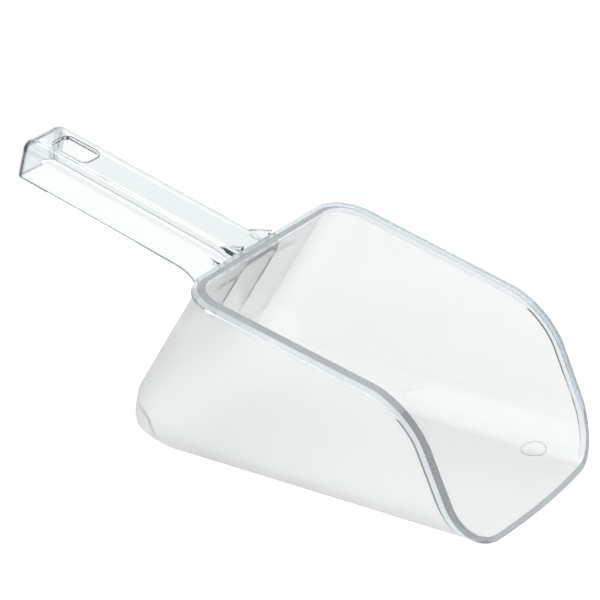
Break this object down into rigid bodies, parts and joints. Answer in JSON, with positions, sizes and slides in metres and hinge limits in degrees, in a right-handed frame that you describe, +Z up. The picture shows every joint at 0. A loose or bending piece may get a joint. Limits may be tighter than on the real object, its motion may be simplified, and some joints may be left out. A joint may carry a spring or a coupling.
{
  "type": "ice scoop",
  "caption": "Clear moulded ice scoop: a squared trough with a slanted mouth, a thick rim, and a channel handle with a hanging slot.",
  "frame": {"origin": "under the middle of the whole scoop, on the surface that it stands on", "axes": "+X towards the mouth, away from the handle's tail; +Y to the scoop's left; +Z up from the flat underside of the trough"},
  "size_m": [0.3032, 0.1394, 0.1264],
  "materials": {
    "frosted_polycarbonate": "clear polycarbonate with a fine spark-eroded texture on its outside",
    "polished_polycarbonate": "clear polycarbonate from a polished mould"
  },
  "bodies": {
    "root": {"bowl_floor": "frosted_polycarbonate", "bowl_back": "frosted_polycarbonate", "bowl_side_left": "frosted_polycarbonate", "bowl_side_right": "frosted_polycarbonate", "rim_back": "polished_polycarbonate", "rim_left": "polished_polycarbonate", "rim_right": "polished_polycarbonate", "lip": "polished_polycarbonate", "handle_top": "polished_polycarbonate", "handle_side_left": "polished_polycarbonate", "handle_side_right": "polished_polycarbonate", "handle_end": "polished_polycarbonate", "back_rib_left": "polished_polycarbonate", "back_rib_right": "polished_polycarbonate", "root_flare_left": "polished_polycarbonate", "root_flare_right": "polished_polycarbonate", "root_gusset_left": "polished_polycarbonate", "root_gusset_right": "polished_polycarbonate"}
  },
  "joints": []
}
